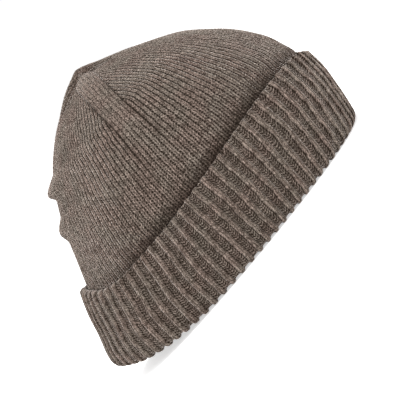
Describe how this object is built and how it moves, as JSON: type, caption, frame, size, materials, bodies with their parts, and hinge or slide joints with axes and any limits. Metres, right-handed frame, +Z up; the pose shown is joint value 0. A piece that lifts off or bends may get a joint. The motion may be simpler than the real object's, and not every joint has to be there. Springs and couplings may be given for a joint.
{
  "type": "fisherman beanie",
  "caption": "Soft knitted beanie with a plain-knit domed crown, soft folds across the back and a wide ribbed turn-up cuff.",
  "frame": {"origin": "on the surface the beanie rests on, under the centre of its bounding box", "axes": "+X towards the front of the hat, +Z up towards the crown's apex, +Y towards the wearer's left side"},
  "size_m": [0.226, 0.1736, 0.152],
  "materials": {
    "plain_knit": "matte fine plain-knit wool, taupe heather",
    "rib_knit": "matte 2x2 rib-knit wool, taupe heather"
  },
  "bodies": {
    "root": {"crown": "plain_knit", "ribbed_cuff": "rib_knit"}
  },
  "joints": []
}
